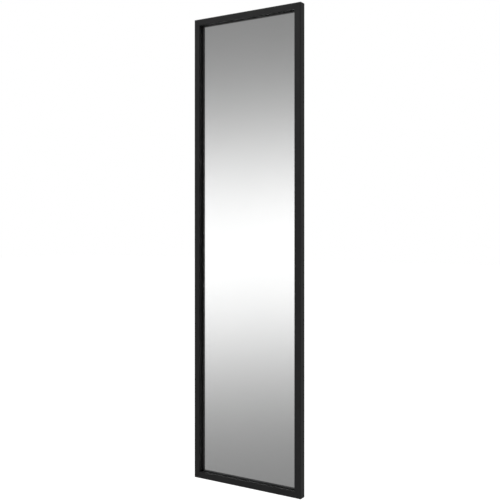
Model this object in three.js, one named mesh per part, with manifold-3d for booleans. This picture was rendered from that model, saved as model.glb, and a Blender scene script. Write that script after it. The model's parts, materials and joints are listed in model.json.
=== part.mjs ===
// Pull-out closet mirror: a tall framed mirror that slides out of a wardrobe and swivels to face the room.
// The mirror hangs on two pivots at its leading edge. They sit on an upright that joins the inner members of
// two full-extension ball-bearing slides, and the slides' outer members are welded to a mounting plate.
// Millimetres, +Z up. The mirror faces -Y and pulls out along +X. The origin is on the plate's back face.

import * as THREE from "three";
import { mergeVertices } from "three/addons/utils/BufferGeometryUtils.js";
import Module from "manifold-3d";

const wasm = await Module();
wasm.setup();

// Overall sizes
const mirrorWidth = 320;
const mirrorHeight = 1219;

// Fits and overruns
const seatGap = 0.3; // between pieces that seat in or on one another
const runGap = 0.3; // between a ball and its race, and beside a turning piece
const overrun = 1; // how far a cutter stands past what it cuts

// Frame profile, measured from the outer edge inwards and from the front face backwards
const frame = {
  face: 16.7, // width of the front face
  box: 10.8, // depth of the front hollow box, and so of the glass behind the front face
  wall: 1.4,
  leg: 1.8, // outer side wall behind the box
  flange: 2, // rear flange
  frontArris: 3.2, // radius of the outer front edge
  innerArris: 0.6,
  rearArris: 0.8,
};
const glass = { thickness: 4, inset: 3, seat: 0.2 };
const board = { thickness: 3, inset: 2.6, gap: 0.1 }; // gap: to the glass
const gasket = { width: 4, thickness: 1.6, gap: 0.15 }; // gap: to the board, and to the flange
const cornerKey = { reach: 42, chamfer: 2, rib: 0.9, ribPitch: 5, ribWidth: 1.6 };

// Ball-bearing slides
const slide = {
  spacing: 400, // between the two slides, centre to centre
  length: 250,
  height: 45.5,
  sheet: 1.2,
  pivotInset: 21, // from the pivot axis back to the front end of a closed slide
};
const cage = { sheet: 0.5, length: 110, gap: 0.4, balls: 5, margin: 7 }; // margin: end balls to the ends
const ballRadius = 1.9;
const outerRowShare = 9 / 14; // outer ball row beyond the intermediate member's web, of the race's radius
const rowStaggerShare = 41 / 56; // how much deeper the inner ball row lies, of the race's diameter
const stop = { length: 2, height: 8, rise: 0.9, inset: 0.3 }; // tabs that end the cages' travel
const bumper = { length: 7.5, height: 14, arris: 1.5 };
const slideHole = { radius: 2.3, pitch: 96 };

// Mounting plate
const plate = { width: 100, margin: 12.25, thickness: 1.5, corner: 8 }; // margin: past each slide, along Z
const plateHole = { radius: 2.75, pitchX: 64, pitchZ: 280, keySlot: 9, keyHead: 5 };
const plateWindow = { width: 40, height: 90, corner: 12, rise: 72 };

// Upright and its fasteners
const upright = { width: 30, endMargin: 4, sheet: 2, lip: 8, bend: 1.5, endInset: 2 };
const screw = { shank: 2, head: 3.6, headHeight: 2.3, crown: 0.7, clear: 0.15, past: 2.4, edge: 0.2 };
const rivet = { shank: 1.6, head: 3, headHeight: 1.2, crown: 0.5, clear: 0.15, tail: 0.8 };

// Pivots
const pivot = {
  slideGap: 27.25, // from the edge of a slide to the middle of the arm beyond it
  edge: 14, // from the leading edge of the mirror to the pivot axis
  pin: 3,
  pinClear: 0.1,
  eye: 5.5, // outer radius of the lugs
  armLug: 3, // thickness of the arm's lug
  leafLug: 2.5,
  leaf: 2,
  leafGap: 0.5, // from the leaf to the arm's lug
  leafHeight: 56,
  leafReach: 6.5, // leaf beyond the axis, away from the leading edge
  leafEdge: 2.5, // from the leaf to the leading edge
  armPlate: 2,
  armHeight: 32,
  armWidth: 23,
  corner: 4,
};
const washer = { thickness: 0.8, outer: 5.2 };
const pinHead = { radius: 4.6, height: 1.8, crown: 0.6 };
const clip = { thickness: 0.7, outer: 5, mouth: 3.2, groove: 2.3, play: 0.1, tail: 1.5 }; // play: on the pin
const leafScrew = { inset: 6.4, pitch: 40, past: 1.4 };

// How finely curves are cut
const arcSteps = 5;
const roundSteps = 16;
const ballSteps = 7;

// Places that follow from the sizes
const halfWidth = mirrorWidth / 2;
const halfHeight = mirrorHeight / 2;
const quarterTurn = Math.PI / 2;
const glassDepth = frame.box + glass.seat; // of each layer behind the frame's front face
const boardDepth = glassDepth + glass.thickness + board.gap;
const gasketDepth = boardDepth + board.thickness + gasket.gap;
const flangeDepth = gasketDepth + gasket.thickness + gasket.gap;
const frameDepth = flangeDepth + frame.flange;
const raceRadius = ballRadius + runGap + slide.sheet / 2; // to the middle of the rolled sheet
const outerCageWeb = slide.sheet + cage.gap + cage.sheet / 2; // depths from the back of a slide
const middleWeb = outerCageWeb + cage.sheet / 2 + cage.gap + slide.sheet / 2;
const outerRowDepth = middleWeb + outerRowShare * raceRadius;
const innerRowDepth = outerRowDepth + rowStaggerShare * 2 * raceRadius;
const slideDepth = innerRowDepth + raceRadius + slide.sheet / 2 + runGap;
const slideFront = -plate.thickness - slideDepth; // face of the slides that the upright is screwed to
const uprightFace = slideFront - upright.sheet;
const armFace = uprightFace - pivot.armPlate;
const pivotX = halfWidth - pivot.edge;
const pivotY = armFace - pivot.pin / 2;
const frameBack = pivotY - pivot.eye - pivot.leafGap - pivot.leaf;
const frameFront = frameBack - frameDepth;
const slideFrontX = pivotX - slide.pivotInset;
const slideRearX = slideFrontX - slide.length;
const slideX = (slideFrontX + slideRearX) / 2;
const pivotRise = slide.spacing / 2 + slide.height / 2 + pivot.slideGap; // of each pivot from the middle
const uprightHeight = 2 * (pivotRise + pivot.armHeight / 2 + upright.endMargin);
const plateHeight = slide.spacing + slide.height + 2 * plate.margin;
const uprightX = slideFrontX - upright.width / 2 - upright.endInset;
const armX0 = uprightX - upright.width / 2 + upright.sheet + upright.bend + seatGap; // past its bend
const armX = armX0 + pivot.armWidth / 2; // middle of the arm's plate and of the upright's fasteners
const boxRounding = Math.max(frame.frontArris - frame.wall, frame.innerArris); // inside its outer corner

// Colours and finishes
const material = (color, roughness, metalness) =>
  new THREE.MeshStandardMaterial({ color, roughness, metalness });
const finish = {
  blackPaint: material(0x222222, 0.5, 0.3),
  mirror: material(0xdfe2e2, 0.03, 1),
  board: material(0x4a4038, 0.85, 0),
  rubber: material(0x1a1a1a, 0.8, 0),
  zinc: material(0xb4b8bc, 0.35, 0.9),
  steel: material(0x9a9da0, 0.3, 1),
  nylon: material(0xe6e4dc, 0.5, 0),
  keyAlloy: material(0x8d8f91, 0.6, 0.8),
};

// Turns a closed geometry into a solid that can be joined and cut.
function solid(geometry) {
  const bare = new THREE.BufferGeometry();
  bare.setAttribute("position", geometry.getAttribute("position"));
  if (geometry.index) bare.setIndex(geometry.index);
  const merged = mergeVertices(bare, 1e-4);
  return new wasm.Manifold(
    new wasm.Mesh({
      numProp: 3,
      vertProperties: new Float32Array(merged.attributes.position.array),
      triVerts: new Uint32Array(merged.index.array),
    }),
  );
}

function geometryOf(body) {
  const mesh = body.getMesh();
  const geometry = new THREE.BufferGeometry();
  geometry.setAttribute("position", new THREE.BufferAttribute(mesh.vertProperties, 3));
  geometry.setIndex(new THREE.BufferAttribute(mesh.triVerts, 1));
  const shaded = geometry.toNonIndexed();
  shaded.computeVertexNormals();
  return shaded;
}

const cut = (geometry, cutters) =>
  geometryOf(cutters.reduce((body, cutter) => body.subtract(solid(cutter)), solid(geometry)));
const join = (geometries) =>
  geometryOf(geometries.slice(1).reduce((body, g) => body.add(solid(g)), solid(geometries[0])));

// Extrudes an outline upwards along +Z, from z to z + depth.
const prism = (shape, depth, z = 0, curveSegments = arcSteps) =>
  new THREE.ExtrudeGeometry(shape, { depth, bevelEnabled: false, curveSegments }).translate(0, 0, z);

// Extrudes an outline drawn in X and Z towards the mirror, from y to y - depth.
const panel = (shape, depth, y, curveSegments = arcSteps) =>
  prism(shape, depth, 0, curveSegments).rotateX(quarterTurn).translate(0, y, 0);

const cylinder = (radius, length) => new THREE.CylinderGeometry(radius, radius, length, roundSteps);

// A cylinder along Y that runs through everything between two depths.
const boreY = (radius, x, z, from, to) =>
  cylinder(radius, Math.abs(to - from) + 2 * overrun).translate(x, (from + to) / 2, z);

function roundedRectangle(x0, z0, x1, z1, radius) {
  const shape = new THREE.Shape();
  shape.moveTo(x0 + radius, z0);
  shape.lineTo(x1 - radius, z0);
  shape.absarc(x1 - radius, z0 + radius, radius, -quarterTurn, 0, false);
  shape.lineTo(x1, z1 - radius);
  shape.absarc(x1 - radius, z1 - radius, radius, 0, quarterTurn, false);
  shape.lineTo(x0 + radius, z1);
  shape.absarc(x0 + radius, z1 - radius, radius, quarterTurn, Math.PI, false);
  shape.lineTo(x0, z0 + radius);
  shape.absarc(x0 + radius, z0 + radius, radius, Math.PI, 3 * quarterTurn, false);
  return shape;
}

// Points on an arc, both ends included, angles in degrees.
function arc(centre, radius, fromDegrees, toDegrees, steps = arcSteps) {
  return Array.from({ length: steps + 1 }, (_, i) => {
    const angle = THREE.MathUtils.degToRad(fromDegrees + ((toDegrees - fromDegrees) * i) / steps);
    return new THREE.Vector2(centre.x + radius * Math.cos(angle), centre.y + radius * Math.sin(angle));
  });
}

// The outline of a bent sheet: its centre line moved half a thickness to each side, with mitred bends.
function sheetOutline(line, thickness) {
  const normalAt = (i, j) => {
    const along = line[j].clone().sub(line[i]).normalize();
    return new THREE.Vector2(-along.y, along.x);
  };
  const side = (offset) =>
    line.map((point, i) => {
      const before = normalAt(Math.max(i - 1, 0), Math.max(i, 1));
      const after = normalAt(Math.min(i, line.length - 2), Math.min(i + 1, line.length - 1));
      const mean = before.clone().add(after).normalize();
      return point.clone().addScaledVector(mean, offset / mean.dot(after));
    });
  return new THREE.Shape([...side(-thickness / 2), ...side(thickness / 2).reverse()]);
}

// Completes a centre line that is drawn for the upper half only.
const mirrored = (upper) => [
  ...upper.map((p) => new THREE.Vector2(p.x, -p.y)).reverse(),
  ...upper,
];

const group = new THREE.Group();
function add(name, geometry, look, parent = group) {
  const mesh = new THREE.Mesh(geometry, look);
  mesh.name = name;
  parent.add(mesh);
  return mesh;
}

// Frame members: one hollow aluminium extrusion, mitred at both ends
function frameSection() {
  const f = frame;
  const outline = new THREE.Shape();
  outline.moveTo(f.frontArris, 0);
  outline.lineTo(f.face - f.innerArris, 0);
  outline.absarc(f.face - f.innerArris, f.innerArris, f.innerArris, -quarterTurn, 0, false);
  outline.lineTo(f.face, f.box);
  outline.lineTo(f.leg, f.box);
  outline.lineTo(f.leg, flangeDepth);
  outline.lineTo(f.face, flangeDepth);
  outline.lineTo(f.face, frameDepth);
  outline.lineTo(f.rearArris, frameDepth);
  outline.absarc(f.rearArris, frameDepth - f.rearArris, f.rearArris, quarterTurn, Math.PI, false);
  outline.lineTo(0, f.frontArris);
  outline.absarc(f.frontArris, f.frontArris, f.frontArris, Math.PI, 3 * quarterTurn, false);
  const hollow = new THREE.Path();
  const middle = f.wall + boxRounding;
  hollow.moveTo(f.wall, middle);
  hollow.lineTo(f.wall, f.box - f.wall);
  hollow.lineTo(f.face - f.wall, f.box - f.wall);
  hollow.lineTo(f.face - f.wall, f.wall);
  hollow.lineTo(middle, f.wall);
  hollow.absarc(middle, middle, boxRounding, 3 * quarterTurn, Math.PI, true);
  outline.holes.push(hollow);
  return outline;
}

// A member along X whose outer edge lies `half` below the middle; u runs inwards and v backwards.
function frameMember(length, half) {
  const geometry = prism(frameSection(), 1);
  const position = geometry.getAttribute("position");
  for (let i = 0; i < position.count; i++) {
    const u = position.getX(i);
    const v = position.getY(i);
    const end = position.getZ(i) < 0.5 ? 1 : -1;
    position.setXYZ(i, end * (length / 2 - u - seatGap / 2), frameFront + v, u - half);
  }
  geometry.computeVertexNormals();
  return geometry;
}

const mirror = new THREE.Group();
group.add(mirror);
const leafScrewHeights = [-1, 1].flatMap((end) =>
  [-1, 1].map((side) => end * pivotRise + (side * leafScrew.pitch) / 2),
);
const leafScrewX = halfWidth - leafScrew.inset;

add("rail_bottom", frameMember(mirrorWidth, halfHeight), finish.blackPaint, mirror);
add("rail_top", frameMember(mirrorWidth, halfHeight), finish.blackPaint, mirror).rotation.y = 2 * quarterTurn;
add("stile_left", frameMember(mirrorHeight, halfWidth), finish.blackPaint, mirror).rotation.y = quarterTurn;
add(
  "stile_right",
  cut(
    frameMember(mirrorHeight, halfWidth).rotateY(-quarterTurn),
    leafScrewHeights.map((z) =>
      boreY(screw.shank + screw.clear, leafScrewX, z, frameBack, frameBack - frame.flange),
    ),
  ),
  finish.blackPaint,
  mirror,
);

// Corner keys: ribbed angle pieces inside the hollow boxes of two members
function cornerKeyGeometry() {
  const edgeGap = boxRounding + (seatGap - boxRounding) * Math.SQRT1_2; // keeps its edge out of the rounding
  const near = frame.wall + edgeGap;
  const far = frame.face - frame.wall - seatGap;
  const c = cornerKey.chamfer;
  const reach = cornerKey.reach;
  const edge = [
    [near, near],
    [reach - c, near],
    [reach, near + c],
    [reach, far - c],
    [reach - c, far],
  ];
  const ribs = Math.floor((reach - c - far) / cornerKey.ribPitch);
  for (let i = ribs; i > 0; i--) {
    const at = far + i * cornerKey.ribPitch - cornerKey.ribWidth;
    edge.push([at + cornerKey.ribWidth, far], [at + cornerKey.ribWidth / 2, far - cornerKey.rib], [at, far]);
  }
  edge.push([far, far]);
  const otherArm = edge.slice(1, -1).map(([a, b]) => [b, a]).reverse();
  const shape = new THREE.Shape([...edge, ...otherArm].map(([x, y]) => new THREE.Vector2(x, y)));
  const thickness = frame.box - 2 * frame.wall - seatGap - edgeGap;
  return panel(shape, thickness, frameFront + frame.box - frame.wall - seatGap);
}

const corners = [
  ["bottom_left", 1, 1],
  ["bottom_right", -1, 1],
  ["top_right", -1, -1],
  ["top_left", 1, -1],
];
corners.forEach(([corner, sx, sz]) => {
  const key = add("corner_key_" + corner, cornerKeyGeometry(), finish.keyAlloy, mirror);
  key.position.set(-sx * halfWidth, 0, -sz * halfHeight);
  key.scale.set(sx, 1, sz);
});

// Glass, backing board and the gasket that wedges them forward in the frame's groove
const sheetPiece = (sheet, depth) =>
  new THREE.BoxGeometry(
    mirrorWidth - 2 * sheet.inset,
    sheet.thickness,
    mirrorHeight - 2 * sheet.inset,
  ).translate(0, frameFront + depth + sheet.thickness / 2, 0);
add("mirror_glass", sheetPiece(glass, glassDepth), finish.mirror, mirror);
add("backing_board", sheetPiece(board, boardDepth), finish.board, mirror);

function gasketGeometry() {
  const rectangle = (inset) =>
    [
      [-1, -1],
      [1, -1],
      [1, 1],
      [-1, 1],
    ].map(([a, b]) => new THREE.Vector2(a * (halfWidth - inset), b * (halfHeight - inset)));
  const ring = new THREE.Shape(rectangle(frame.face - gasket.width));
  ring.holes.push(new THREE.Path(rectangle(frame.face)));
  return panel(ring, gasket.thickness, frameFront + gasketDepth + gasket.thickness);
}
add("glazing_gasket", gasketGeometry(), finish.rubber, mirror);

// Slide sections, drawn by depth from the slide's back and height from its middle. Two ball rows run at
// different depths, so that the intermediate member's race curls under the outer row and over the inner one.
const outerWeb = slide.sheet / 2;
const innerCageWeb = middleWeb + slide.sheet / 2 + cage.gap + cage.sheet / 2;
const innerWeb = slideDepth - slide.sheet / 2;
const outerRow = new THREE.Vector2(outerRowDepth, slide.height / 2 - slide.sheet / 2 - raceRadius);
const innerRow = new THREE.Vector2(
  innerRowDepth,
  outerRow.y - Math.sqrt((2 * raceRadius) ** 2 - (innerRowDepth - outerRowDepth) ** 2),
);
const betweenRows = THREE.MathUtils.radToDeg(Math.atan2(outerRow.y - innerRow.y, outerRow.x - innerRow.x));

const outerBend = arc(outerRow, raceRadius, 135, 15);
const outerLine = mirrored([
  new THREE.Vector2(outerWeb, outerBend[0].y - (outerBend[0].x - outerWeb)),
  ...outerBend,
]);
const middleCurl = arc(outerRow, raceRadius, -110, betweenRows - 180);
const middleLine = mirrored([
  new THREE.Vector2(middleWeb, middleCurl[0].y - (middleCurl[0].x - middleWeb) / 2),
  ...middleCurl,
  ...arc(innerRow, raceRadius, betweenRows, -15).slice(1),
]);
const innerBend = arc(innerRow, raceRadius, -70, -140);
const innerLine = mirrored([
  new THREE.Vector2(innerWeb, innerBend[0].y - (innerWeb - innerBend[0].x) / 2),
  ...innerBend,
]);

// A cage's sheet follows the web beside it and turns in to hold the balls at their middle.
const cageLine = (web, row) =>
  mirrored([
    new THREE.Vector2(web, row.y - ballRadius * 0.75),
    new THREE.Vector2(web + (row.x - ballRadius - web) / 3, row.y - cage.sheet / 2),
    new THREE.Vector2(row.x - ballRadius * 0.8, row.y),
  ]);

const slideBack = -plate.thickness;
const rearStopX = slideRearX + bumper.length + seatGap;
const cageX = slideX + (bumper.length + seatGap) / 2;
const ballPitch = (cage.length - 2 * cage.margin) / (cage.balls - 1);

// A length of a slide section between two places along X, on the slide at height z.
const slideLength = (line, sheet, fromX, toX, z) =>
  prism(sheetOutline(line, sheet), toX - fromX)
    .rotateX(quarterTurn)
    .rotateZ(-quarterTurn)
    .translate(toX, slideBack, z);

// A stop tab raised from a member's web, near one of its ends: side is 1 on its front and -1 on its back.
function stopTab(web, side, x, z) {
  const height = slide.sheet / 2 + stop.rise;
  return new THREE.BoxGeometry(stop.length, height, stop.height).translate(
    x,
    slideBack - web - (side * height) / 2,
    z,
  );
}
const frontStopX = slideFrontX - stop.inset - stop.length / 2;
const backStopX = rearStopX + stop.inset + stop.length / 2;

function cageGeometry(line, row, z) {
  const strip = slideLength(line, cage.sheet, cageX - cage.length / 2, cageX + cage.length / 2, z);
  const balls = [-1, 1].flatMap((side) =>
    Array.from({ length: cage.balls }, (_, i) =>
      new THREE.SphereGeometry(ballRadius, ballSteps, ballSteps - 2).translate(
        cageX + (i - (cage.balls - 1) / 2) * ballPitch,
        slideBack - row.x,
        z + side * row.y,
      ),
    ),
  );
  return join([strip, ...balls]);
}

// A turned fastener along Y: its head stands towards the mirror from the seat, its shank points away.
function fastener(size, length, x, seat, z) {
  const profile = [
    [0, -size.headHeight],
    [size.head - 1.5 * size.crown, -size.headHeight],
    [size.head, -size.headHeight + size.crown],
    [size.head, 0],
    [size.shank, 0],
    [size.shank, length - size.clear],
    [size.shank - size.clear, length],
    [0, length],
  ].map(([r, h]) => new THREE.Vector2(r, h));
  return new THREE.LatheGeometry(profile, roundSteps / 2).translate(x, seat, z);
}

// Mounting plate, with round holes, two keyhole slots and two lightening windows
function plateGeometry() {
  const x0 = slideX - plate.width / 2;
  const blank = roundedRectangle(x0, -plateHeight / 2, x0 + plate.width, plateHeight / 2, plate.corner);
  const holes = [-1, 1].flatMap((a) =>
    [-1, 1].map((b) =>
      boreY(
        plateHole.radius,
        slideX + (a * plateHole.pitchX) / 2,
        (b * plateHole.pitchZ) / 2,
        0,
        -plate.thickness,
      ),
    ),
  );
  const windows = [-1, 1].map((side) => {
    const w = plateWindow;
    const middle = side * w.rise;
    return panel(
      roundedRectangle(
        slideX - w.width / 2,
        middle - w.height / 2,
        slideX + w.width / 2,
        middle + w.height / 2,
        w.corner,
      ),
      plate.thickness + 2 * overrun,
      overrun,
    );
  });
  const keyholes = [-1, 1].flatMap((side) => {
    const x = slideX + (side * plateHole.pitchX) / 2;
    const slot = roundedRectangle(
      x - plateHole.radius,
      -plateHole.keySlot,
      x + plateHole.radius,
      plateHole.keySlot,
      plateHole.radius - seatGap,
    );
    return [
      panel(slot, plate.thickness + 2 * overrun, overrun),
      boreY(plateHole.keyHead, x, -plateHole.keySlot, 0, -plate.thickness),
    ];
  });
  return cut(panel(blank, plate.thickness, 0), [...holes, ...windows, ...keyholes]);
}
add("mounting_plate", plateGeometry(), finish.zinc);

// Both slides
const slides = [
  ["upper", slide.spacing / 2],
  ["lower", -slide.spacing / 2],
];
const screwReach = pivot.armWidth / 2 + seatGap - screw.edge - screw.head; // edge: head to bend
const screwXs = [-1, 1].map((side) => armX + side * screwReach);
slides.forEach(([level, z]) => {
  const webHoles = (front) =>
    [-1, 1].map((side) =>
      boreY(
        slideHole.radius,
        slideX + (side * slideHole.pitch) / 2,
        z,
        slideBack - front + slide.sheet,
        slideBack - front,
      ),
    );
  const outer = join([
    slideLength(outerLine, slide.sheet, slideRearX, slideFrontX, z),
    stopTab(outerWeb, 1, frontStopX, z),
  ]);
  add("outer_slide_" + level, cut(outer, webHoles(slide.sheet)), finish.zinc);
  const middle = join([
    slideLength(middleLine, slide.sheet, rearStopX, slideFrontX, z),
    stopTab(middleWeb, 1, frontStopX, z),
    stopTab(middleWeb, -1, backStopX, z),
  ]);
  add("intermediate_slide_" + level, cut(middle, webHoles(middleWeb + slide.sheet / 2)), finish.zinc);
  const inner = join([
    slideLength(innerLine, slide.sheet, rearStopX, slideFrontX, z),
    stopTab(innerWeb, -1, backStopX, z),
  ]);
  const screwHoles = screwXs.map((x) =>
    boreY(screw.shank + screw.clear, x, z, slideFront, slideFront + slide.sheet),
  );
  add("inner_slide_" + level, cut(inner, screwHoles), finish.zinc);
  add("outer_ball_cage_" + level, cageGeometry(cageLine(outerCageWeb, outerRow), outerRow, z), finish.steel);
  add("inner_ball_cage_" + level, cageGeometry(cageLine(innerCageWeb, innerRow), innerRow, z), finish.steel);
  const block = roundedRectangle(
    slideRearX,
    z - bumper.height / 2,
    slideRearX + bumper.length,
    z + bumper.height / 2,
    bumper.arris,
  );
  const blockBack = slideBack - slide.sheet;
  add("slide_bumper_" + level, panel(block, slideDepth - slide.sheet - runGap, blockBack), finish.rubber);
  screwXs.forEach((x, i) =>
    add(
      "slide_screw_" + level + "_" + (i + 1),
      fastener(screw, upright.sheet + slide.sheet + screw.past, x, uprightFace, z),
      finish.steel,
    ),
  );
});

// Upright: an angle section with a stiffening lip on its rear edge, screwed across both inner members
const rivetHeights = [-1, 1].map((side) => (side * pivot.armHeight) / 4);
function uprightGeometry() {
  const x0 = uprightX - upright.width / 2;
  const x1 = uprightX + upright.width / 2;
  const middle = slideFront - upright.sheet / 2;
  const bend = upright.bend + upright.sheet / 2;
  const corner = new THREE.Vector2(x0 + upright.sheet / 2 + bend, middle - bend);
  const line = [
    new THREE.Vector2(x0 + upright.sheet / 2, middle - upright.lip),
    ...arc(corner, bend, 180, 90),
    new THREE.Vector2(x1, middle),
  ];
  const blank = prism(sheetOutline(line, upright.sheet), uprightHeight, -uprightHeight / 2);
  const holes = slides.flatMap(([, z]) =>
    screwXs.map((x) => boreY(screw.shank + screw.clear, x, z, slideFront, uprightFace)),
  );
  const rivetHoles = [-1, 1].flatMap((side) =>
    rivetHeights.map((h) =>
      boreY(rivet.shank + rivet.clear, armX, side * pivotRise + h, slideFront, uprightFace),
    ),
  );
  return cut(blank, [...holes, ...rivetHoles]);
}
add("upright", uprightGeometry(), finish.zinc);

// Pivots. Along each axis, from the middle outwards: arm lug, thrust washer, leaf lug.
const stackGap = runGap / 2;
const washerStart = pivot.armLug / 2 + stackGap;
const leafLugStart = washerStart + washer.thickness + stackGap;
const leafLugEnd = leafLugStart + pivot.leafLug;

const eyeHole = (z, height) =>
  cylinder(pivot.pin + pivot.pinClear, height + 2 * overrun)
    .rotateX(quarterTurn)
    .translate(pivotX, pivotY, z);

function armGeometry(z) {
  const plateShape = roundedRectangle(
    armX0,
    z - pivot.armHeight / 2,
    armX0 + pivot.armWidth,
    z + pivot.armHeight / 2,
    pivot.corner,
  );
  const lug = new THREE.Shape();
  lug.moveTo(armX0 + pivot.corner, uprightFace);
  lug.lineTo(armX0 + pivot.corner, armFace);
  lug.lineTo(armX0 + pivot.armWidth - pivot.corner, pivotY - pivot.eye);
  lug.lineTo(pivotX, pivotY - pivot.eye);
  lug.absarc(pivotX, pivotY, pivot.eye, -quarterTurn, quarterTurn, false);
  lug.lineTo(uprightX + upright.width / 2 + seatGap, uprightFace);
  const tab = prism(lug, pivot.armLug, z - pivot.armLug / 2, roundSteps / 2);
  const arm = join([panel(plateShape, pivot.armPlate, uprightFace), tab]);
  const rivetHoles = rivetHeights.map((h) =>
    boreY(rivet.shank + rivet.clear, armX, z + h, uprightFace, armFace),
  );
  return cut(arm, [eyeHole(z, pivot.armLug), ...rivetHoles]);
}

function leafGeometry(z, screwZs) {
  const leafShape = roundedRectangle(
    pivotX - pivot.leafReach,
    z - pivot.leafHeight / 2,
    halfWidth - pivot.leafEdge,
    z + pivot.leafHeight / 2,
    pivot.corner,
  );
  const lug = new THREE.Shape();
  lug.moveTo(pivotX - pivot.eye, frameBack + pivot.leaf / 2);
  lug.lineTo(pivotX + pivot.eye, frameBack + pivot.leaf / 2);
  lug.absarc(pivotX, pivotY, pivot.eye, 0, Math.PI, false);
  const lugs = [leafLugStart, -leafLugEnd].map((h) => prism(lug, pivot.leafLug, z + h, roundSteps / 2));
  const leaf = join([panel(leafShape, pivot.leaf, frameBack + pivot.leaf), ...lugs]);
  const screwHoles = screwZs.map((h) =>
    boreY(screw.shank + screw.clear, leafScrewX, h, frameBack, frameBack + pivot.leaf),
  );
  return cut(leaf, [eyeHole(z, 2 * leafLugEnd), ...screwHoles]);
}

const washerGeometry = (z) => {
  const ring = new THREE.Shape().absarc(pivotX, pivotY, washer.outer, 0, 2 * Math.PI, false);
  ring.holes.push(new THREE.Path().absarc(pivotX, pivotY, pivot.pin + pivot.pinClear, 0, 2 * Math.PI, true));
  return prism(ring, washer.thickness, z, roundSteps / 2);
};

const headSeat = leafLugEnd + stackGap;
const clipTop = -leafLugEnd - stackGap;
const clipBottom = clipTop - clip.thickness;
const clipPlay = stackGap / 2;
const clipInner = clip.groove + clip.play;

function pinGeometry(z) {
  const foot = clipBottom - clip.tail;
  const bevel = pivot.pin - clip.groove;
  const profile = [
    [0, foot],
    [pivot.pin - bevel, foot],
    [pivot.pin, foot + bevel],
    [pivot.pin, clipBottom - clipPlay],
    [clip.groove, clipBottom - clipPlay],
    [clip.groove, clipTop + clipPlay],
    [pivot.pin, clipTop + clipPlay],
    [pivot.pin, headSeat],
    [pinHead.radius, headSeat],
    [pinHead.radius, headSeat + pinHead.height - pinHead.crown],
    [pinHead.radius - pinHead.crown, headSeat + pinHead.height],
    [0, headSeat + pinHead.height],
  ].map(([r, h]) => new THREE.Vector2(r, h));
  return new THREE.LatheGeometry(profile, roundSteps).rotateX(quarterTurn).translate(pivotX, pivotY, z);
}

// A retaining clip: a ring that is open on one side, so that it snaps into the pin's groove.
function clipGeometry(z) {
  const openOuter = Math.asin(clip.mouth / 2 / clip.outer);
  const openInner = Math.asin(clip.mouth / 2 / clipInner);
  const shape = new THREE.Shape();
  shape.absarc(pivotX, pivotY, clip.outer, openOuter - quarterTurn, 3 * quarterTurn - openOuter, false);
  shape.absarc(pivotX, pivotY, clipInner, 3 * quarterTurn - openInner, openInner - quarterTurn, true);
  return prism(shape, clip.thickness, z + clipBottom, roundSteps / 2);
}

[
  ["upper", pivotRise],
  ["lower", -pivotRise],
].forEach(([level, z]) => {
  add("pivot_arm_" + level, armGeometry(z), finish.zinc);
  rivetHeights.forEach((h, i) =>
    add(
      "arm_rivet_" + level + "_" + (i + 1),
      fastener(rivet, pivot.armPlate + upright.sheet + rivet.tail, armX, armFace, z + h),
      finish.steel,
    ),
  );
  add("pivot_pin_" + level, pinGeometry(z), finish.steel);
  add("pin_clip_" + level, clipGeometry(z), finish.steel);
  add("thrust_washer_" + level + "_top", washerGeometry(z + washerStart), finish.nylon);
  add("thrust_washer_" + level + "_bottom", washerGeometry(z - washerStart - washer.thickness), finish.nylon);
  const screwZs = leafScrewHeights.filter((h) => Math.sign(h) === Math.sign(z));
  add("hinge_leaf_" + level, leafGeometry(z, screwZs), finish.zinc);
  screwZs.forEach((h, i) =>
    add(
      "hinge_screw_" + level + "_" + (i + 1),
      fastener(screw, pivot.leaf + frame.flange + leafScrew.past, 0, 0, 0)
        .rotateX(Math.PI)
        .translate(leafScrewX, frameBack + pivot.leaf, h),
      finish.steel,
    ),
  );
});

export default group;
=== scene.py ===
"""Pull-out closet mirror: finishes, fine pieces, studio and camera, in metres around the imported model."""

import json
import math

import bmesh
import bpy
from mathutils import Matrix, Vector

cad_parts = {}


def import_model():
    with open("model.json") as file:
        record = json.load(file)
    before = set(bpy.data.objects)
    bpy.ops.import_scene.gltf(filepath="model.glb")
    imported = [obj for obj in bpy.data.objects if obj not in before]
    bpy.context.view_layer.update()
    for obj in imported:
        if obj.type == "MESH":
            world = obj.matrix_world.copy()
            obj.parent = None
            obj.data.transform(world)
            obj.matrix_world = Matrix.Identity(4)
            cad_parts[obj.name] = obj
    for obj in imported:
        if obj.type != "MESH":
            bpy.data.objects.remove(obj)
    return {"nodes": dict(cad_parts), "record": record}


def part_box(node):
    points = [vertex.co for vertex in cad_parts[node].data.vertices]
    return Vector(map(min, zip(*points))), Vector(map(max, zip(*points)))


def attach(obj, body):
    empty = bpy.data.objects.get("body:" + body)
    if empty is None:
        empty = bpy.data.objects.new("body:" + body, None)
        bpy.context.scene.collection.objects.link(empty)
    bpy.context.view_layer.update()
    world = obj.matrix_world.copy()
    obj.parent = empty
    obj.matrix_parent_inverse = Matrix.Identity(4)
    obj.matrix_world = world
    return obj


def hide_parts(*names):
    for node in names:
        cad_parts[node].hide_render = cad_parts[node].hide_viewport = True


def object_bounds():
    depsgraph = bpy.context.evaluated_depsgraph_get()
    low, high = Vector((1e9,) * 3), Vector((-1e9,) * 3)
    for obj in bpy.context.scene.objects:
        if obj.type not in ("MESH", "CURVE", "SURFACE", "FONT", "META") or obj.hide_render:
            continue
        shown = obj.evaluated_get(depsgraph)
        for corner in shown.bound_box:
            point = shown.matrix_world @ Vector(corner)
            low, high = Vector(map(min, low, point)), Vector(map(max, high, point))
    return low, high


MM = 0.001
LEVELS = ("upper", "lower")

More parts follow.
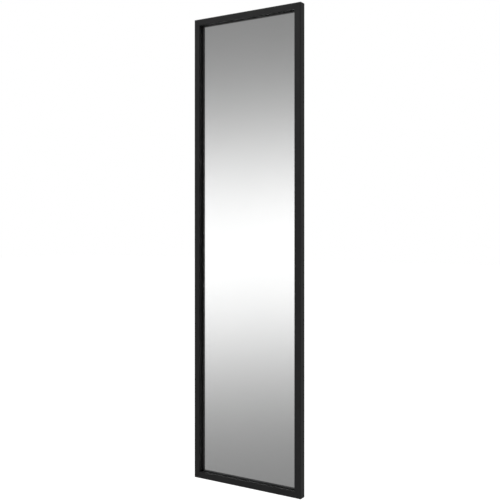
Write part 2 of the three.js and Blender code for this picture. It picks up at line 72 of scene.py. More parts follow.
# The photograph's frame and the places in it that set the camera
PHOTO_SIDE_PX = 500
HORIZON_PX = 227.55  # height at which the frame's receding edges meet
FOCAL_PX = 765.0
RIGHT_EDGE_PX = 300.31  # the near front edge, where its two faces would meet but for its rounding
RIGHT_TOP_PX = 1.43
RIGHT_BOTTOM_PX = 499.69
TURN_DEG = 31.87  # how far the mirror is turned from square to the camera
SENSOR_MM = 36.0
SEEN_FROM, SEEN_TO = 0.05, 100.0  # distances between which the camera sees

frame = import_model()
cad_low, cad_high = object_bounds()

front_low, front_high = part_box("stile_right")
FRAME_FRONT = front_low.y
MIRROR_WIDTH = 2 * front_high.x
MIRROR_HEIGHT = front_high.z - front_low.z


class Nodes:
    """A short way to build a material's node tree."""

    def __init__(self, name):
        self.material = bpy.data.materials.new(name)
        self.material.use_nodes = True
        self.tree = self.material.node_tree
        self.tree.nodes.clear()
        self.output = self.add("ShaderNodeOutputMaterial")
        self.coords = self.add("ShaderNodeTexCoord").outputs["Object"]

    def add(self, kind, inputs=None, **settings):
        node = self.tree.nodes.new(kind)
        for key, value in settings.items():
            setattr(node, key, value)
        for key, value in (inputs or {}).items():
            self.put(node.inputs[key], value)
        return node

    def put(self, socket, value):
        if isinstance(value, bpy.types.NodeSocket):
            self.tree.links.new(value, socket)
        else:
            socket.default_value = value

    def noise(self, size, detail=3.0, roughness=0.5, stretch=(1, 1, 1)):
        """Noise whose features are about `size` metres across."""
        mapping = self.add("ShaderNodeMapping", {"Vector": self.coords, "Scale": stretch})
        inputs = {
            "Vector": mapping.outputs["Vector"],
            "Scale": 1 / size,
            "Detail": detail,
            "Roughness": roughness,
        }
        return self.add("ShaderNodeTexNoise", inputs).outputs["Fac"]

    def span(self, fac, low, high, fac_low=0.3, fac_high=0.7):
        """Spreads a noise's usual range, or another that is given, from low to high."""
        inputs = {"Value": fac, "From Min": fac_low, "From Max": fac_high, "To Min": low, "To Max": high}
        return self.add("ShaderNodeMapRange", inputs).outputs["Result"]

    def blend(self, fac, a, b):
        """A mix from colour a, which may be another blend, to colour b."""
        mix = self.add("ShaderNodeMix", data_type="RGBA")
        self.put(mix.inputs["Factor"], fac)
        self.put(mix.inputs[6], (*a, 1) if isinstance(a, tuple) else a)
        self.put(mix.inputs[7], (*b, 1))
        return mix.outputs[2]

    def math(self, operation, a, b=0.0):
        return self.add("ShaderNodeMath", {0: a, 1: b}, operation=operation).outputs["Value"]

    def bump(self, height, distance, strength, under=None):
        """The normal of a relief, laid over another bump's normal where one is given."""
        inputs = {"Height": height, "Distance": distance, "Strength": strength}
        if under is not None:
            inputs["Normal"] = under
        return self.add("ShaderNodeBump", inputs).outputs["Normal"]

    def finish(self, **inputs):
        """Ends the tree in a Principled shader, whose sockets are named in small letters."""
        shader = self.add("ShaderNodeBsdfPrincipled")
        for key, value in inputs.items():
            self.put(shader.inputs[key.replace("_", " ").title().replace("Ior", "IOR")], value)
        self.put(self.output.inputs["Surface"], shader.outputs["BSDF"])
        return self.material


def powder_coat():
    """Matte black powder coat: fine orange peel, slightly uneven tone and sheen."""
    m = Nodes("powder_coat")
    tone = m.noise(40 * MM)
    peel = m.noise(0.9 * MM, detail=2.0)
    grain = m.noise(0.25 * MM, detail=1.0)
    color = m.blend(m.span(tone, 0, 1), (0.0145, 0.0145, 0.0148), (0.0185, 0.0185, 0.0188))
    color = m.blend(m.span(grain, 0, 0.3), color, (0.027, 0.027, 0.027))
    return m.finish(
        base_color=color,
        roughness=m.span(tone, 0.5, 0.6),
        specular_ior_level=0.09,
        normal=m.bump(peel, 0.03 * MM, 0.6, under=m.bump(grain, 0.02 * MM, 0.5)),
    )


def silver():
    """The silvered back of the glass: a clean, neutral mirror."""
    m = Nodes("silver")
    haze = m.noise(120 * MM)
    return m.finish(
        base_color=m.blend(m.span(haze, 0, 1), (0.928, 0.928, 0.928), (0.937, 0.937, 0.937)),
        metallic=1.0,
        roughness=0.0,
    )


def clear_glass():
    """Float glass with the slightest tint."""
    m = Nodes("clear_glass")
    tint = m.noise(150 * MM)
    return m.finish(
        base_color=m.blend(m.span(tint, 0, 1), (0.988, 0.991, 0.99), (0.992, 0.994, 0.993)),
        transmission_weight=1.0,
        roughness=0.0,
        ior=1.5,
    )


def zinc_plate():
    """Zinc plating on rolled steel: cool grey, faint spangle, fine rolling lines along X, dulled patches."""
    m = Nodes("zinc_plate")
    spangle = m.noise(5 * MM, detail=5.0, roughness=0.65)
    patch = m.noise(45 * MM, detail=3.0)
    lines = m.noise(0.6 * MM, detail=3.0, stretch=(0.015, 1, 1))
    color = m.blend(m.span(spangle, 0, 1), (0.3, 0.315, 0.335), (0.42, 0.43, 0.44))
    color = m.blend(m.span(patch, 0, 0.45), color, (0.36, 0.36, 0.35))
    color = m.blend(m.span(lines, 0, 0.3), color, (0.25, 0.26, 0.27))
    return m.finish(
        base_color=color,
        metallic=0.9,
        roughness=m.span(patch, 0.34, 0.5),
        normal=m.bump(lines, 0.03 * MM, 0.6),
    )


def bright_steel():
    """Bright plated steel with faint smears."""
    m = Nodes("bright_steel")
    smear = m.noise(3 * MM)
    return m.finish(
        base_color=m.blend(m.span(smear, 0, 1), (0.46, 0.465, 0.47), (0.58, 0.58, 0.575)),
        metallic=1.0,
        roughness=m.span(smear, 0.16, 0.28),
        normal=m.bump(smear, 0.01 * MM, 0.4),
    )


def cast_alloy():
    """Die-cast alloy: dull grey with a fine cast skin."""
    m = Nodes("cast_alloy")
    skin = m.noise(1.2 * MM, detail=4.0)
    return m.finish(
        base_color=m.blend(m.span(skin, 0, 1), (0.3, 0.3, 0.31), (0.42, 0.42, 0.43)),
        metallic=0.9,
        roughness=0.55,
        normal=m.bump(skin, 0.05 * MM, 0.7),
    )


def hardboard():
    """Pressed hardboard: dark brown, with pale fibres and a soft mottle."""
    m = Nodes("hardboard")
    mottle = m.noise(14 * MM, detail=5.0, roughness=0.6)
    fibres = m.noise(1.1 * MM, detail=4.0, roughness=0.7, stretch=(1, 1, 0.35))
    base = m.blend(m.span(mottle, 0, 1), (0.115, 0.066, 0.034), (0.165, 0.098, 0.053))
    color = m.blend(m.span(fibres, 0, 0.55, 0.5, 0.75), base, (0.27, 0.185, 0.115))
    return m.finish(base_color=color, roughness=0.82, normal=m.bump(fibres, 0.12 * MM, 0.6))


def rubber():
    """Dull black rubber."""
    m = Nodes("rubber")
    skin = m.noise(0.8 * MM)
    return m.finish(
        base_color=m.blend(m.span(skin, 0, 1), (0.016, 0.016, 0.016), (0.024, 0.024, 0.024)),
        roughness=0.72,
        specular_ior_level=0.3,
        normal=m.bump(skin, 0.04 * MM, 0.5),
    )


def nylon():
    """Natural nylon: cream white, a little cloudy."""
    m = Nodes("nylon")
    cloud = m.noise(2.5 * MM)
    return m.finish(
        base_color=m.blend(m.span(cloud, 0, 1), (0.74, 0.72, 0.66), (0.8, 0.785, 0.73)),
        roughness=0.42,
        subsurface_weight=0.15,
        normal=m.bump(cloud, 0.02 * MM, 0.3),
    )


FINISHES = {
    "black_frame": powder_coat(),
    "zinc_steel": zinc_plate(),
    "fastener_steel": bright_steel(),
    "cage_steel": bright_steel(),
    "key_alloy": cast_alloy(),
    "backing": hardboard(),
    "rubber": rubber(),
    "nylon": nylon(),
    "silvered_glass": silver(),
}

# Meshes, objects and their edges
SMOOTH_ANGLE = math.radians(32)  # up to which a bend is shaded smoothly
FLAT_ANGLE = math.radians(0.5)  # up to which two facets count as one face
WELD = 0.002 * MM  # up to which two points are joined
EASE = {  # how far each finish's sharp edges are eased
    "black_frame": 0.25 * MM,
    "backing": 0.2 * MM,
    "key_alloy": 0.2 * MM,
    "rubber": 0.5 * MM,
}
SHEET_EASE = 0.12 * MM  # and those of the other finishes


def to_mesh(name, bm):
    mesh = bpy.data.meshes.new(name)
    bm.to_mesh(mesh)
    bm.free()
    return mesh


def add_object(name, mesh):
    obj = bpy.data.objects.new(name, mesh)
    bpy.context.collection.objects.link(obj)
    return obj


def modified_mesh(obj):
    """A new mesh of what an object's modifiers make of it."""
    return bpy.data.meshes.new_from_object(obj.evaluated_get(bpy.context.evaluated_depsgraph_get()))


def set_finish(obj, material):
    obj.data.materials.clear()
    obj.data.materials.append(material)


def smooth(obj):
    for polygon in obj.data.polygons:
        polygon.use_smooth = True


def shade(obj):
    """Smooth shading across gentle bends, with the real edges left sharp."""
    smooth(obj)
    obj.data.set_sharp_from_angle(angle=SMOOTH_ANGLE)


def ease_edges(obj, width):
    """Joins a node's facets into whole faces and eases the edges between them, without touching its mesh."""
    weld = obj.modifiers.new("weld", "WELD")
    weld.merge_threshold = WELD
    faces = obj.modifiers.new("faces", "DECIMATE")
    faces.decimate_type = "DISSOLVE"
    faces.angle_limit = FLAT_ANGLE
    bevel = obj.modifiers.new("bevel", "BEVEL")
    bevel.width = width
    bevel.segments = 2
    bevel.limit_method = "ANGLE"
    bevel.angle_limit = SMOOTH_ANGLE
    bevel.miter_outer = "MITER_ARC"
    normals = obj.modifiers.new("normals", "WEIGHTED_NORMAL")
    normals.mode = "FACE_AREA"
    normals.weight = 100


def drop_custom_normals(obj):
    with bpy.context.temp_override(object=obj, active_object=obj, selected_objects=[obj]):
        bpy.ops.mesh.customdata_custom_splitnormals_clear()


def dress_nodes():
    """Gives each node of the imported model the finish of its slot, and eased edges."""
    for part in frame["record"]["subparts"]:
        obj = frame["nodes"][part["node"]]
        set_finish(obj, FINISHES[part["material_slot"]])
        drop_custom_normals(obj)
        smooth(obj)
        ease_edges(obj, EASE.get(part["material_slot"], SHEET_EASE))


# The mirror, as glass and silvering
SILVER_THICKNESS = 0.3 * MM
SILVER_GAP = 0.02 * MM  # between the glass and its silvering
GLASS_EASE = 0.4 * MM
SILVER_EASE = 0.1 * MM


def slab(name, low, high, ease, segments, material, body, slot):
    """A box between two corners with every edge eased, riding on a body."""
    low, high = Vector(low), Vector(high)
    bm = bmesh.new()
    bmesh.ops.create_cube(bm, size=1.0)
    bmesh.ops.transform(bm, matrix=Matrix.Diagonal((*(high - low), 1)), verts=bm.verts)
    bmesh.ops.translate(bm, vec=(low + high) / 2, verts=bm.verts)
    bmesh.ops.bevel(bm, geom=bm.edges, offset=ease, segments=segments, affect="EDGES", profile=0.5)
    obj = add_object(name, to_mesh(name, bm))
    set_finish(obj, material)
    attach(obj, body)
    return obj


def make_mirror():
    """Clear glass with its silvering on the back, in the place of the glass node."""
    low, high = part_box("mirror_glass")
    silver_front = high.y - SILVER_THICKNESS
    glass_high = (high.x, silver_front - SILVER_GAP, high.z)
    silver_low = (low.x, silver_front, low.z)
    clear, silvered = clear_glass(), FINISHES["silvered_glass"]
    on_mirror = ("mirror", "silvered_glass")
    glass = slab("mirror_float_glass", low, glass_high, GLASS_EASE, 2, clear, *on_mirror)
    layer = slab("mirror_silvering", silver_low, high, SILVER_EASE, 1, silvered, *on_mirror)
    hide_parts("mirror_glass")
    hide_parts("mirror_glass")


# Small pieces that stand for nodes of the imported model, modelled at their real fineness
TURNED_STEPS = 48
THREAD_STEPS = 6  # rings of points in a turn of the thread
SCREW = {
    "head": 3.6 * MM,
    "height": 2.3 * MM,
    "rim": 0.15 * MM,  # bevel under the head's edge
    "shank": 2.0 * MM,
    "pitch": 0.7 * MM,
    "thread": 0.32 * MM,  # its depth
    "neck": 0.5 * MM,  # length under the head without thread
    "lead": 0.1 * MM,  # over which the thread rises from the neck
    "tip": 0.5 * MM,
}
SHOULDER_SHARE = 0.45  # of a screw head's height, where its dome begins
RECESS = {  # the cutter of a driver's cross, at its top and at its foot
    "arm": 2.3 * MM,
    "half_width": 0.62 * MM,
    "foot_arm": 1.0 * MM,
    "foot_half_width": 0.36 * MM,
    "depth": 1.5 * MM,
    "overrun": 0.5 * MM,  # above the head
}
RIVET = {
    "head": 3.0 * MM,
    "height": 1.2 * MM,
    "rim": 0.12 * MM,
    "shank": 1.6 * MM,
    "tail": 0.8 * MM,
    "tail_radius": 2.4 * MM,
}
PIN = {
    "shank": 3.0 * MM,
    "height": 1.8 * MM,  # of its head
    "crown": 0.5 * MM,  # radius of the head's upper edge
    "rim": 0.15 * MM,
    "groove": 2.3 * MM,
    "bevel": 0.6 * MM,  # at its foot
    "mark": 0.7 * MM,  # radius of the centre mark in its head
    "mark_depth": 0.45 * MM,
}
CLIP = {
    "inner": 2.36 * MM,  # at the prongs
    "outer": 4.9 * MM,
    "relief": 3.5 * MM,  # between the prongs
    "ease": 0.07 * MM,
    "play": 0.08 * MM,  # along the pin, on each side
}
CLIP_MOUTH_DEG = 38  # half of its opening
CLIP_PRONG_DEG = 10  # half of a prong
CLIP_RAMP_DEG = 8  # from a prong to the relief beside it
CLIP_END_DEG = 6  # from the mouth to the middle of the prong beside it
CLIP_OUTER_STEPS, CLIP_INNER_STEPS = 60, 72
WASHER = {"bore": 3.1 * MM, "ease": 0.15 * MM}


def turned(profile):
    """A closed body turned about Z from (radius, height) points.

    A point's third and fourth values, a pitch and a depth, cut a helical thread.
    """
    bm = bmesh.new()
    rings = []
    for radius, height, *thread in profile:
        if radius == 0:
            rings.append([bm.verts.new((0, 0, height))])
            continue
        ring = []
        for i in range(TURNED_STEPS):
            angle = 2 * math.pi * i / TURNED_STEPS
            at = radius
            if thread:
                pitch, depth = thread
                at -= depth * abs(2 * ((height / pitch - i / TURNED_STEPS) % 1) - 1)
            ring.append(bm.verts.new((at * math.cos(angle), at * math.sin(angle), height)))
        rings.append(ring)
    for lower, upper in zip(rings, rings[1:]):
        for i in range(TURNED_STEPS):
            j = (i + 1) % TURNED_STEPS
            low_pair = [lower[i % len(lower)], lower[j % len(lower)]]
            high_pair = [upper[j % len(upper)], upper[i % len(upper)]]
            bm.faces.new(list(dict.fromkeys(low_pair + high_pair)))
    bmesh.ops.recalc_face_normals(bm, faces=bm.faces)
    return bm


def turned_ring(profile):
    """A ring turned about Z from a closed profile."""
    bm = bmesh.new()
    angles = [2 * math.pi * i / TURNED_STEPS for i in range(TURNED_STEPS)]
    rings = [
        [bm.verts.new((radius * math.cos(a), radius * math.sin(a), height)) for a in angles]
        for radius, height in profile
    ]
    for lower, upper in zip(rings, rings[1:] + rings[:1]):
        for i in range(TURNED_STEPS):
            j = (i + 1) % TURNED_STEPS
            bm.faces.new([lower[i], lower[j], upper[j], upper[i]])
    bmesh.ops.recalc_face_normals(bm, faces=bm.faces)
    return bm


def bend(centre, radii, start, end, steps=6):
    """Points on a stretch of an ellipse in a profile, angles in degrees."""
    angles = [math.radians(start + (end - start) * i / steps) for i in range(steps + 1)]
    return [(centre[0] + radii[0] * math.cos(a), centre[1] + radii[1] * math.sin(a)) for a in angles]


def thicken(bm, outline, vec):
    """Fills an outline of points and extrudes it along a vector."""
    face = bm.faces.new([bm.verts.new(point) for point in outline])
    grown = bmesh.ops.extrude_face_region(bm, geom=[face])["geom"]
    bmesh.ops.translate(bm, vec=vec, verts=[v for v in grown if isinstance(v, bmesh.types.BMVert)])


def cut_away(mesh, cutters):
    """The mesh less the cutters' meshes."""
    body = add_object("body", mesh)
    tools = [add_object("tool", cutter) for cutter in cutters]
    for tool in tools:
        cut = body.modifiers.new("cut", "BOOLEAN")
        cut.object = tool
        cut.solver = "EXACT"
    result = modified_mesh(body)
    for done in [body, *tools]:
        bpy.data.objects.remove(done)
    return result


def place(name, mesh, matrix, slot, body, node):
    """Puts a mesh in the place of a node, riding on its body."""
    mesh.transform(matrix)
    obj = add_object(name, mesh)
    set_finish(obj, FINISHES[slot])
    shade(obj)
    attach(obj, body)
    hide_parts(node)


def cross_ring(bm, arm, half_width, height):
    """The corners of a cross at a height: those of one arm, turned four times."""
    ring = []
    for quarter in range(4):
        angle = quarter * math.pi / 2
        cos, sin = round(math.cos(angle)), round(math.sin(angle))
        for x, y in [(arm, -half_width), (arm, half_width), (half_width, half_width)]:
            ring.append(bm.verts.new((x * cos - y * sin, x * sin + y * cos, height)))
    return ring


def cross_recess(top):
    """The cutter of a driver's cross in a head of a given height, tapered towards its foot."""
    bm = bmesh.new()
    upper = cross_ring(bm, RECESS["arm"], RECESS["half_width"], top + RECESS["overrun"])
    lower = cross_ring(bm, RECESS["foot_arm"], RECESS["foot_half_width"], top - RECESS["depth"])
    bm.faces.new(upper)
    bm.faces.new(lower[::-1])
    for i in range(len(upper)):
        j = (i + 1) % len(upper)
        bm.faces.new([lower[i], lower[j], upper[j], upper[i]])
    bmesh.ops.recalc_face_normals(bm, faces=bm.faces)
    return to_mesh("cross_recess", bm)


def screw_mesh(length):
    """A pan-head screw with a cross recess: its seat lies at height 0 and its shank points down."""
    head, height, rim, tip = SCREW["head"], SCREW["height"], SCREW["rim"], SCREW["tip"]
    shank, pitch, depth = SCREW["shank"], SCREW["pitch"], SCREW["thread"]
    root, shoulder = shank - depth, height * SHOULDER_SHARE
    start = SCREW["neck"] + SCREW["lead"]
    dome = bend((0, shoulder), (head, height - shoulder), 90, 0, 8)[1:]
    steps = round((length - tip - start) / (pitch / THREAD_STEPS))
    thread = [(shank, -start - i * pitch / THREAD_STEPS, pitch, depth) for i in range(steps + 1)]
    profile = [(0, height), *dome, (head, rim), (head - rim, 0), (root, 0), (root, -SCREW["neck"])]
    profile += [*thread, (root - tip / 2, -length), (0, -length)]
    return cut_away(to_mesh("screw", turned(profile)), [cross_recess(height)])


def rivet_mesh(length):
    """A mushroom-headed rivet whose tail is pressed out behind the sheet."""
    head, height, rim, shank = RIVET["head"], RIVET["height"], RIVET["rim"], RIVET["shank"]
    tail, tail_radius = RIVET["tail"], RIVET["tail_radius"]
    dome = bend((0, rim), (head, height - rim), 90, 0, 8)[1:]
    grip = length - tail
    formed = bend((tail_radius - tail / 2, -grip - tail / 2), (tail / 2, tail / 2), 90, -90)
    profile = [(0, height), *dome, (head - rim, 0), (shank, 0), (shank, -grip), *formed, (0, -length)]
    return to_mesh("rivet", turned(profile))


FASTENERS = (
    ("slide_screw", SCREW, screw_mesh, "carriage"),
    ("hinge_screw", SCREW, screw_mesh, "mirror"),
    ("arm_rivet", RIVET, rivet_mesh, "carriage"),
)
SPIN = 40  # radians that a fastener is turned for each metre of its height, so that the recesses differ


def place_fasteners():
    """Screws and rivets in place of their nodes; the hinge screws' heads face back, the others' forward."""
    for level in LEVELS:
        for i in (1, 2):
            for kind, size, make, body in FASTENERS:
                node = "%s_%s_%d" % (kind, level, i)
                low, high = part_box(node)
                middle = (low + high) / 2
                faces_back = kind == "hinge_screw"
                seat = high.y - size["height"] if faces_back else low.y + size["height"]
                tilt = Matrix.Rotation(math.radians(-90 if faces_back else 90), 4, "X")
                spin = Matrix.Rotation(middle.z * SPIN + i, 4, "Z")
                matrix = Matrix.Translation((middle.x, seat, middle.z)) @ tilt @ spin
                mesh = make(high.y - low.y - size["height"])
                place(node + "_body", mesh, matrix, "fastener_steel", body, node)


def pin_mesh(low, high, head, groove_low, groove_high):
    """A headed pin with a clip groove, a centre mark on its head and a bevelled foot."""
    shank, groove, bevel = PIN["shank"], PIN["groove"], PIN["bevel"]
    crown, rim, seat = PIN["crown"], PIN["rim"], high - PIN["height"]
    profile = [(0, high - PIN["mark_depth"]), (PIN["mark"], high)]
    profile += bend((head - crown, high - crown), (crown, crown), 90, 0)
    profile += [(head, seat + rim), (head - rim, seat), (shank, seat), (shank, groove_high)]
    profile += [(groove, groove_high), (groove, groove_low), (shank, groove_low)]
    profile += [(shank, low + bevel), (shank - bevel, low), (0, low)]
    return to_mesh("pin", turned(profile))


def clip_mesh(thickness):
    """An E-shaped clip: an open ring with three prongs that reach into the groove."""
    inner, outer, relief = CLIP["inner"], CLIP["outer"], CLIP["relief"]
    start, end = -90 + CLIP_MOUTH_DEG, 270 - CLIP_MOUTH_DEG
    outline = []
    for i in range(CLIP_OUTER_STEPS + 1):
        angle = math.radians(start + (end - start) * i / CLIP_OUTER_STEPS)
        outline.append((outer * math.cos(angle), outer * math.sin(angle), 0))
    prongs = (90, end - CLIP_END_DEG, start + CLIP_END_DEG)
    for i in range(CLIP_INNER_STEPS + 1):
        degrees = end + (start - end) * i / CLIP_INNER_STEPS
        near_prong = min(abs((degrees - prong + 180) % 360 - 180) for prong in prongs)
        share = min(max((near_prong - CLIP_PRONG_DEG) / CLIP_RAMP_DEG, 0), 1)
        radius = inner + (relief - inner) * share
        angle = math.radians(degrees)
        outline.append((radius * math.cos(angle), radius * math.sin(angle), 0))
    bm = bmesh.new()
    thicken(bm, outline, (0, 0, thickness))
    bmesh.ops.recalc_face_normals(bm, faces=bm.faces)
    rims = [e for e in bm.edges if len(e.link_faces) == 2 and e.calc_face_angle() > SMOOTH_ANGLE]
    bmesh.ops.bevel(bm, geom=rims, offset=CLIP["ease"], segments=2, affect="EDGES", profile=0.5)
    return to_mesh("clip", bm)


def washer_mesh(outer, thickness):
    bore, ease = WASHER["bore"], WASHER["ease"]
    profile = [(bore, ease), (bore + ease, 0), (outer - ease, 0), (outer, ease)]
    profile += [(outer, thickness - ease), (outer - ease, thickness)]
    profile += [(bore + ease, thickness), (bore, thickness - ease)]
    return to_mesh("washer", turned_ring(profile))


def place_pivots():
    """Each pivot's pin, its clip and its two washers in place of their nodes."""
    for level in LEVELS:
        pin_node, clip_node = "pivot_pin_" + level, "pin_clip_" + level
        low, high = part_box(pin_node)
        clip_low, clip_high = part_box(clip_node)
        axis = (low + high) / 2
        play = CLIP["play"]
        pin = pin_mesh(low.z, high.z, (high.x - low.x) / 2, clip_low.z - play, clip_high.z + play)
        at_axis = Matrix.Translation((axis.x, axis.y, 0))
        place(pin_node + "_body", pin, at_axis, "fastener_steel", "carriage", pin_node)
        clip = clip_mesh(clip_high.z - clip_low.z)
        at_clip = Matrix.Translation((axis.x, axis.y, clip_low.z))
        place(clip_node + "_body", clip, at_clip, "fastener_steel", "carriage", clip_node)
        for end in ("top", "bottom"):
            node = "thrust_washer_%s_%s" % (level, end)
            low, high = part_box(node)
            washer = washer_mesh((high.x - low.x) / 2, high.z - low.z)
            at = Matrix.Translation((axis.x, axis.y, low.z))
            place(node + "_body", washer, at, "nylon", "carriage", node)


# Ball cages
CAGE = {
    "ball": 1.9 * MM,
    "socket": 2.02 * MM,
    "sheet": 0.5 * MM,
    "margin": 7 * MM,  # from the end balls to the ends
    "balls": 5,  # in a row
}
BALL_SIDES, BALL_RINGS = 28, 18
STRIP_SHARES = (  # of the way from the web to the balls, and of a ball's radius inward of their middle
    (0, 1.3),
    (0, 0.75),
    (1 / 5, 0.42),
    (1 / 2.6, 0.16),
)
LIP_SHARE = 0.8  # of a ball's radius, from the balls' middle back to the strip's edge
SLOT = {"length": 13 * MM, "half_height": 4 * MM, "cut": 4 * MM}
SLOT_STEPS = 32


def balls_mesh(places, radius):
    shape = {"u_segments": BALL_SIDES, "v_segments": BALL_RINGS, "radius": radius}
    bm = bmesh.new()
    for at in places:
        bmesh.ops.create_uvsphere(bm, matrix=Matrix.Translation(at), **shape)
    return to_mesh("balls", bm)


def strip_mesh(low, high, web, row_y, row_z, middle_z):
    """A cage's pressed strip: a flat web whose two edges turn in to the middle of the balls."""
    ball = CAGE["ball"]
    reach = row_y + ball - web
    upper = [(web + depth * reach, row_z - drop * ball) for depth, drop in STRIP_SHARES]
    upper.append((row_y + LIP_SHARE * ball, row_z))
    line = [(y, -z) for y, z in upper[::-1]] + upper
    bm = bmesh.new()
    rows = [[bm.verts.new((x, y, middle_z + z)) for y, z in line] for x in (low.x, high.x)]
    for i in range(len(line) - 1):
        bm.faces.new([rows[0][i], rows[0][i + 1], rows[1][i + 1], rows[1][i]])
    obj = add_object("strip", to_mesh("strip", bm))
    solid = obj.modifiers.new("solid", "SOLIDIFY")
    solid.thickness = CAGE["sheet"]
    solid.offset = 0
    solid.use_even_offset = True
    result = modified_mesh(obj)
    bpy.data.objects.remove(obj)
    return result


def slots_mesh(xs, y, z):
    """Cutters for the round-ended slots in a cage's web."""
    bm = bmesh.new()
    half, cut = SLOT["half_height"], SLOT["cut"]
    reach = SLOT["length"] / 2 - half
    for x in xs:
        outline = []
        for i in range(SLOT_STEPS):
            angle = math.pi * (2 * i / SLOT_STEPS - 0.5)
            side = reach if 2 * i <= SLOT_STEPS else -reach
            outline.append((x + side + half * math.cos(angle), y - cut / 2, z + half * math.sin(angle)))
        thicken(bm, outline, (0, cut, 0))
    bmesh.ops.recalc_face_normals(bm, faces=bm.faces)
    return to_mesh("slots", bm)


def place_cages():
    """Ball cages: a pressed strip with a socket for every ball, and the balls in two rows."""
    ball, count = CAGE["ball"], CAGE["balls"]
    for level in LEVELS:
        for kind in ("outer", "inner"):
            node = "%s_ball_cage_%s" % (kind, level)
            low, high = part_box(node)
            middle_x, middle_z = (low.x + high.x) / 2, (low.z + high.z) / 2
            row_y, row_z = low.y + ball, (high.z - low.z) / 2 - ball
            web = high.y - CAGE["sheet"] / 2
            pitch = (high.x - low.x - 2 * CAGE["margin"]) / (count - 1)
            xs = [middle_x + (i - (count - 1) / 2) * pitch for i in range(count)]
            places = [(x, row_y, middle_z + side * row_z) for x in xs for side in (-1, 1)]
            strip = strip_mesh(low, high, web, row_y, row_z, middle_z)
            sockets = balls_mesh(places, CAGE["socket"])
            slots = slots_mesh([(a + b) / 2 for a, b in zip(xs, xs[1:])], web, middle_z)
            strip = cut_away(strip, [sockets, slots])
            place(node + "_strip", strip, Matrix.Identity(4), "cage_steel", node, node)
            place(node + "_balls", balls_mesh(places, ball), Matrix.Identity(4), "cage_steel", node, node)


# Studio
FLOOR_DROP = 0.9  # below the mirror's bottom edge
FLOOR_REACH = 30.0  # from the middle to each side
FLOOR_COLOR = (0.8, 0.8, 0.8, 1)
FLOOR_LIFT = 0.52  # glow that the camera alone sees, which makes the lit floor white
WORLD_LIGHT = 0.66  # strength at which the white world lights the object
LAMP = {"at": (-0.7, -1.2, 2.1), "target": (0, 0, 0.3), "size": (2.0, 1.2), "watts": 32}
CARD_DISTANCE = 5.0  # from the camera by way of the mirror
CARD_WIDTH = 14.0
CARD_HEIGHT = 9.0
CARD_MIDDLE_PX = 252.0  # row of the photograph where the mirror is brightest
CARD_SPREAD_PX = 131.5  # rows over which the brightness falls off
CARD_DIM, CARD_LIFT = 0.24, 0.89  # brightness far from the middle, and what the middle adds
CARD_TILT = math.radians(-3.8)  # the bright band climbs a little to the right
CARD_FADE_START, CARD_FADE_END = 0.5, 0.97  # shares of its half size where it turns into the white around it
SIDE_CARD_DISTANCE = 4.5  # from the object, for the mirror when it has swivelled
SIDE_CARD_TURN_DEG = 135.0
SIDE_CARD_DIM, SIDE_CARD_LIFT, SIDE_CARD_SPREAD = 0.62, 0.38, 0.9


def rectangle(name, corners):
    """A flat piece of the studio between four corners."""
    mesh = bpy.data.meshes.new(name)
    mesh.from_pydata(corners, [], [(0, 1, 2, 3)])
    obj = add_object(name, mesh)
    return obj


def glow_card(name, middle, turn, tilt, dim, lift, spread):
    """A large light card that only reflections see: bright along its middle, dimmer above and below it."""
    x, z = CARD_WIDTH / 2, CARD_HEIGHT / 2
    card = rectangle(name, [(-x, 0, -z), (x, 0, -z), (x, 0, z), (-x, 0, z)])
    card.location = middle
    card.rotation_euler = (0, tilt, turn)
    m = Nodes(name)
    axes = m.add("ShaderNodeSeparateXYZ", {"Vector": m.coords}).outputs
    share = m.math("DIVIDE", axes["Z"], spread)
    fall = m.math("EXPONENT", m.math("MULTIPLY", m.math("MULTIPLY", share, share), -1.0))
    level = m.math("ADD", m.math("MULTIPLY", fall, lift), dim)
    to_side = m.math("ABSOLUTE", m.math("DIVIDE", axes["X"], x))
    to_end = m.math("ABSOLUTE", m.math("DIVIDE", axes["Z"], z))
    to_edge = m.math("MAXIMUM", to_side, to_end)
    fade = m.add(
        "ShaderNodeMapRange",
        {"Value": to_edge, "From Min": CARD_FADE_START, "From Max": CARD_FADE_END},
        interpolation_type="SMOOTHSTEP",
    ).outputs["Result"]
    strength = m.add("ShaderNodeMix", {"Factor": fade, "A": level, "B": 1.0}).outputs["Result"]
    glow = m.add("ShaderNodeEmission", {"Strength": strength})
    m.put(m.output.inputs["Surface"], glow.outputs["Emission"])
    set_finish(card, m.material)
    card.visible_camera = False
    card.visible_diffuse = False
    card.visible_shadow = False


def light_cards(camera):
    """One card that the mirror shows in the photograph's view, and one for when it has swivelled."""
    turn = math.radians(TURN_DEG)
    ahead = Vector((-math.sin(turn), -math.cos(turn), 0))  # the camera's axis after the mirror
    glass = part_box("mirror_glass")[1].y
    virtual = Vector((camera.location.x, 2 * glass - camera.location.y, camera.location.z))
    per_pixel = CARD_DISTANCE / FOCAL_PX
    rise = Vector((0, 0, (HORIZON_PX - CARD_MIDDLE_PX) * per_pixel))
    middle = virtual + ahead * CARD_DISTANCE + rise
    glow_card("front_card", middle, -turn, CARD_TILT, CARD_DIM, CARD_LIFT, CARD_SPREAD_PX * per_pixel)
    side = math.radians(SIDE_CARD_TURN_DEG)
    middle = Vector((math.sin(side), -math.cos(side), 0)) * SIDE_CARD_DISTANCE
    glow_card("side_card", middle, side, 0, SIDE_CARD_DIM, SIDE_CARD_LIFT, SIDE_CARD_SPREAD)


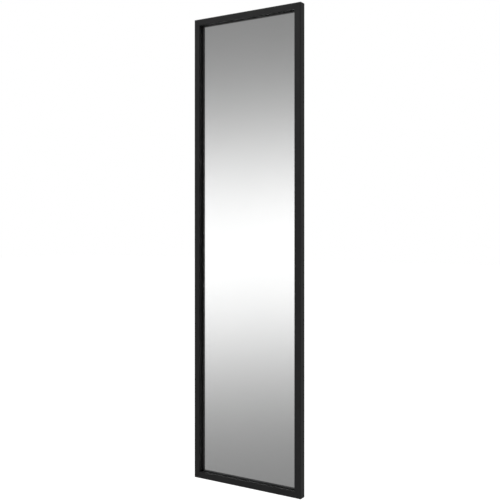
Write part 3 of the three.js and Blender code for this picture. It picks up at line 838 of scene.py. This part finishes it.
def floor():
    """A plain pale floor that is white to the camera where no shadow falls."""
    far, z = FLOOR_REACH, cad_low.z - FLOOR_DROP
    obj = rectangle("floor", [(-far, -far, z), (far, -far, z), (far, far, z), (-far, far, z)])
    m = Nodes("floor")
    seen = m.add("ShaderNodeLightPath").outputs["Is Camera Ray"]
    diffuse = m.add("ShaderNodeBsdfDiffuse", {"Color": FLOOR_COLOR})
    glow = m.add("ShaderNodeEmission", {"Strength": m.math("MULTIPLY", seen, FLOOR_LIFT)})
    both = m.add("ShaderNodeAddShader", {0: diffuse.outputs["BSDF"], 1: glow.outputs["Emission"]})
    m.put(m.output.inputs["Surface"], both.outputs["Shader"])
    set_finish(obj, m.material)
    obj.visible_glossy = False
    obj.visible_transmission = False


def world():
    """White to the camera and in reflections, and a softer white as light on the object."""
    studio = bpy.data.worlds.new("studio")
    bpy.context.scene.world = studio
    studio.use_nodes = True
    tree = studio.node_tree
    tree.nodes.clear()
    path = tree.nodes.new("ShaderNodeLightPath")
    seen = path.outputs["Is Camera Ray"]
    for name in ("Is Glossy Ray", "Is Transmission Ray"):
        either = tree.nodes.new("ShaderNodeMath")
        either.operation = "MAXIMUM"
        tree.links.new(seen, either.inputs[0])
        tree.links.new(path.outputs[name], either.inputs[1])
        seen = either.outputs["Value"]
    mix = tree.nodes.new("ShaderNodeMixShader")
    tree.links.new(seen, mix.inputs[0])
    for socket, strength in ((1, WORLD_LIGHT), (2, 1.0)):
        background = tree.nodes.new("ShaderNodeBackground")
        background.inputs["Color"].default_value = (1, 1, 1, 1)
        background.inputs["Strength"].default_value = strength
        tree.links.new(background.outputs["Background"], mix.inputs[socket])
    output = tree.nodes.new("ShaderNodeOutputWorld")
    tree.links.new(mix.outputs["Shader"], output.inputs["Surface"])


def lamp():
    """One soft lamp from above and to the left."""
    data = bpy.data.lights.new("top_light", "AREA")
    data.shape = "RECTANGLE"
    data.size, data.size_y = LAMP["size"]
    data.energy = LAMP["watts"]
    obj = bpy.data.objects.new("top_light", data)
    obj.location = LAMP["at"]
    obj.rotation_mode = "QUATERNION"
    obj.rotation_quaternion = (Vector(LAMP["target"]) - Vector(LAMP["at"])).to_track_quat("-Z", "Y")
    bpy.context.collection.objects.link(obj)


def make_camera():
    """A level camera from the pixels of the mirror's near edge and the horizon in the photograph."""
    middle = PHOTO_SIDE_PX / 2
    tall = RIGHT_BOTTOM_PX - RIGHT_TOP_PX
    depth = FOCAL_PX * MIRROR_HEIGHT / tall
    aside = (RIGHT_EDGE_PX - middle) / FOCAL_PX * depth
    turn = math.radians(TURN_DEG)
    ahead = Vector((-math.sin(turn), math.cos(turn), 0))
    right = Vector((math.cos(turn), math.sin(turn), 0))
    edge = Vector((MIRROR_WIDTH / 2, FRAME_FRONT, 0))
    height = -MIRROR_HEIGHT / 2 + (RIGHT_BOTTOM_PX - HORIZON_PX) / tall * MIRROR_HEIGHT
    data = bpy.data.cameras.new("camera")
    data.sensor_width = SENSOR_MM
    data.lens = FOCAL_PX / PHOTO_SIDE_PX * SENSOR_MM
    data.shift_y = (HORIZON_PX - middle) / PHOTO_SIDE_PX
    data.clip_start, data.clip_end = SEEN_FROM, SEEN_TO
    camera = bpy.data.objects.new("camera", data)
    camera.location = edge - ahead * depth - right * aside + Vector((0, 0, height))
    camera.rotation_mode = "QUATERNION"
    camera.rotation_quaternion = ahead.to_track_quat("-Z", "Y")
    bpy.context.collection.objects.link(camera)
    bpy.context.scene.camera = camera
    return camera


dress_nodes()
make_mirror()
place_fasteners()
place_pivots()
place_cages()
light_cards(make_camera())
floor()
world()
lamp()
bpy.context.scene.view_settings.view_transform = "Standard"
